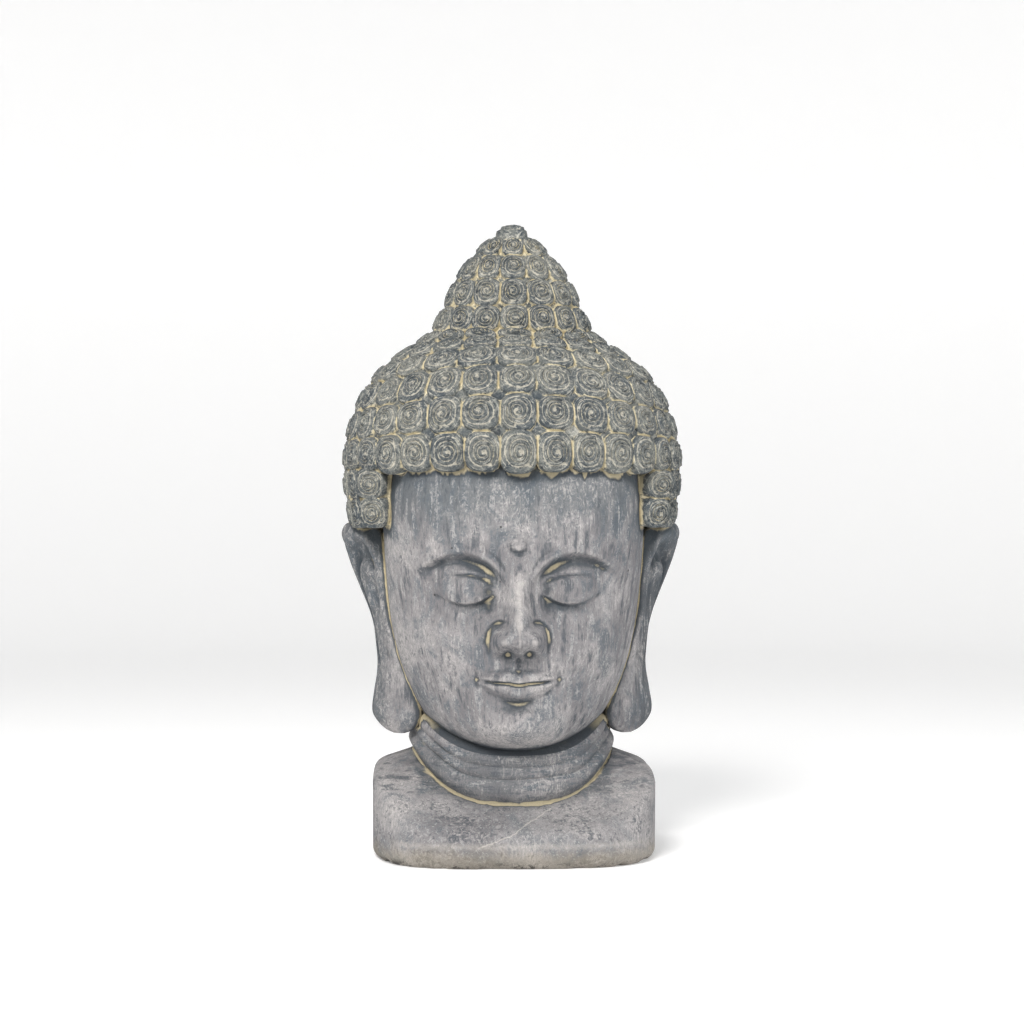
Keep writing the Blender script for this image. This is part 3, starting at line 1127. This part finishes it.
def slate_washed_curls():
    """Cast stone in the hair: dark slate wash on the coils, lighter scratches that wind with them,
    and cream wash caught in the grooves and thick in the joints."""
    material, tree, shader = new_material("slate_washed_curls")
    here = add(tree, "ShaderNodeTexCoord").outputs["Object"]
    near, far, crest, _ = read_recesses(tree)
    groove = add(tree, "ShaderNodeAttribute", attribute_name="coil_groove").outputs["Fac"]
    patches, mottle, grain = lay_patterns(tree, here, CURL_PATTERNS)
    scratches = winding_scratches(tree, here)

    body = add(tree, "ShaderNodeMix", {
        0: broken_mask(tree, patches, mottle, 0.6, 0.32, 0.66),
        6: linear("#434a4f"), 7: linear("#6b6d69")}, data_type="RGBA").outputs[2]
    paint = painted(tree, body, [
        # Grit, then scratches, each dark and pale
        (broken_mask(tree, mottle, grain, 0.3, 0.46, 0.34), 0.55, "#2f353a"),
        (broken_mask(tree, mottle, grain, 0.3, 0.54, 0.66), 0.42, "#a19f97"),
        (broken_mask(tree, scratches, mottle, 0.35, 0.44, 0.32), 0.80, "#272d32"),
        (broken_mask(tree, scratches, mottle, 0.45, 0.54, 0.68), 0.64, "#b4b2a8"),
        # Pale wash in the grooves, shade in the recesses, cream in the joints, rubbed rims
        (broken_mask(tree, groove, mottle, 1.3, 0.66, 1.05), 0.68, "#b3ad9e"),
        (broken_mask(tree, far, patches, 0.5, 0.40, 0.75), 0.55, "#4b4a43"),
        (broken_mask(tree, near, mottle, 0.60, 0.20, 0.44), 0.92, "#cdc2a3"),
        (broken_mask(tree, crest, mottle, 0.9, 0.30, 0.75), 0.55, "#b0aea5"),
    ])
    speckle = add(tree, "ShaderNodeMapRange", {
        "Value": grain, "From Min": 0.3, "From Max": 0.7, "To Min": 0.88, "To Max": 1.10}).outputs[0]
    speckled = add(tree, "ShaderNodeVectorMath", {0: paint, "Scale": speckle}, operation="SCALE").outputs[0]
    tree.links.new(speckled, shader.inputs["Base Color"])
    shader.inputs["Roughness"].default_value = 0.86
    set_dry_stone(shader)
    sand = add(tree, "ShaderNodeBump", {"Height": grain, "Strength": 0.4, "Distance": 0.25 * MM})
    combed = add(tree, "ShaderNodeBump", {
        "Height": scratches, "Strength": 0.6, "Distance": 0.7 * MM, "Normal": sand.outputs[0]})
    tree.links.new(combed.outputs[0], shader.inputs["Normal"])
    return material


def make_casting():
    """The whole casting as one closed skin with its two finishes."""
    stone = brushed_cast_stone()
    slate = slate_washed_curls()
    smooth = [make_bust(), make_neck(), make_head(), make_ear("ear_left", -1), make_ear("ear_right", 1)]
    for shape in smooth:
        shape.data.materials.append(stone)
    mass = make_hair_mass()
    mass.data.materials.append(slate)
    whole = join_all([*smooth, mass, *make_curls(slate)])
    whole.name = whole.data.name = "casting"
    fit_to_solid(whole)
    whole.data.shade_smooth()
    whole.data.set_sharp_from_angle(angle=math.radians(62))
    measure_recesses(whole)
    return whole


# Studio: a round floor, flat out to this radius, that bends up into a wall, and three soft lights,
# each with its place, the width of its square, its power in watts and its colour
FLOOR_RADIUS = 2.7
FLOOR_BEND = 0.8
WALL_TOP = 1.9
FLOOR_SIDES = 96
LIGHTS = {
    "key": ((-0.60, -1.85, 1.60), 0.7, 56, (1.0, 0.985, 0.965)),
    "fill": ((2.0, -0.9, 0.70), 1.2, 13, (0.95, 0.975, 1.0)),
    "top": ((-0.1, 0.2, 2.2), 1.2, 11, (1.0, 1.0, 1.0)),
}
LIT_POINT = Vector((0.0, 0.0, 0.24))
SKY_STRENGTH = 0.28

# Camera: its place, the point in the middle of the picture, and its lens on a 36 mm sensor
CAMERA_PLACE = Vector((-0.076, -1.8184, 0.2528))
CAMERA_TARGET = Vector((0.0, 0.0, 0.2528))
CAMERA_LENS = 85


def make_floor():
    """Pale paper floor that bends up into a wall all round."""
    profile = [(FLOOR_RADIUS, 0.0)]
    for arc in np.linspace(0.1, TURN / 4, 12):
        profile.append((FLOOR_RADIUS + FLOOR_BEND * math.sin(arc), FLOOR_BEND * (1 - math.cos(arc))))
    profile.append((FLOOR_RADIUS + FLOOR_BEND, WALL_TOP))
    bm = bmesh.new()
    around = [n / FLOOR_SIDES * TURN for n in range(FLOOR_SIDES)]
    rows = [[bm.verts.new((r * math.sin(a), r * math.cos(a), z)) for a in around] for r, z in profile]
    for low, high in zip(rows, rows[1:]):
        for i in range(FLOOR_SIDES):
            j = (i + 1) % FLOOR_SIDES
            bm.faces.new((low[i], low[j], high[j], high[i]))
    close_end(bm, rows[0][::-1])
    for face in bm.faces:
        face.smooth = True
    floor = new_object("floor", bm)
    paper, _, shader = new_material("pale_paper")
    shader.inputs["Base Color"].default_value = linear("#f4f4f4")
    shader.inputs["Roughness"].default_value = 0.9
    shader.inputs["Emission Color"].default_value = linear("#ffffff")
    shader.inputs["Emission Strength"].default_value = 0.20
    floor.data.materials.append(paper)
    return floor


def make_light(name, place, size, power, colour):
    """Soft square light that looks at the lit point."""
    light = bpy.data.lights.new(name, "AREA")
    light.size = size
    light.energy = power
    light.color = colour
    obj = bpy.data.objects.new(name, light)
    obj.location = place
    obj.rotation_euler = (LIT_POINT - Vector(place)).to_track_quat("-Z", "Y").to_euler()
    bpy.context.collection.objects.link(obj)


def make_camera():
    """Camera a little left of the middle, level with the face."""
    camera = bpy.data.objects.new("camera", bpy.data.cameras.new("camera"))
    camera.data.lens = CAMERA_LENS
    camera.data.sensor_width = 36
    camera.location = CAMERA_PLACE
    camera.rotation_euler = (CAMERA_TARGET - CAMERA_PLACE).to_track_quat("-Z", "Y").to_euler()
    bpy.context.collection.objects.link(camera)
    bpy.context.scene.camera = camera


def make_studio():
    """Floor, lights, white sky and camera. The plain view transform shows the hex colours as given."""
    make_floor()
    for name, settings in LIGHTS.items():
        make_light(name, *settings)
    world = bpy.data.worlds.new("studio")
    world.use_nodes = True
    sky = world.node_tree.nodes["Background"].inputs
    sky["Color"].default_value = linear("#ffffff")
    sky["Strength"].default_value = SKY_STRENGTH
    bpy.context.scene.world = world
    bpy.context.scene.view_settings.view_transform = "Standard"
    make_camera()


make_studio()
casting = make_casting()
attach(casting, "root")
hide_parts("buddha_head")
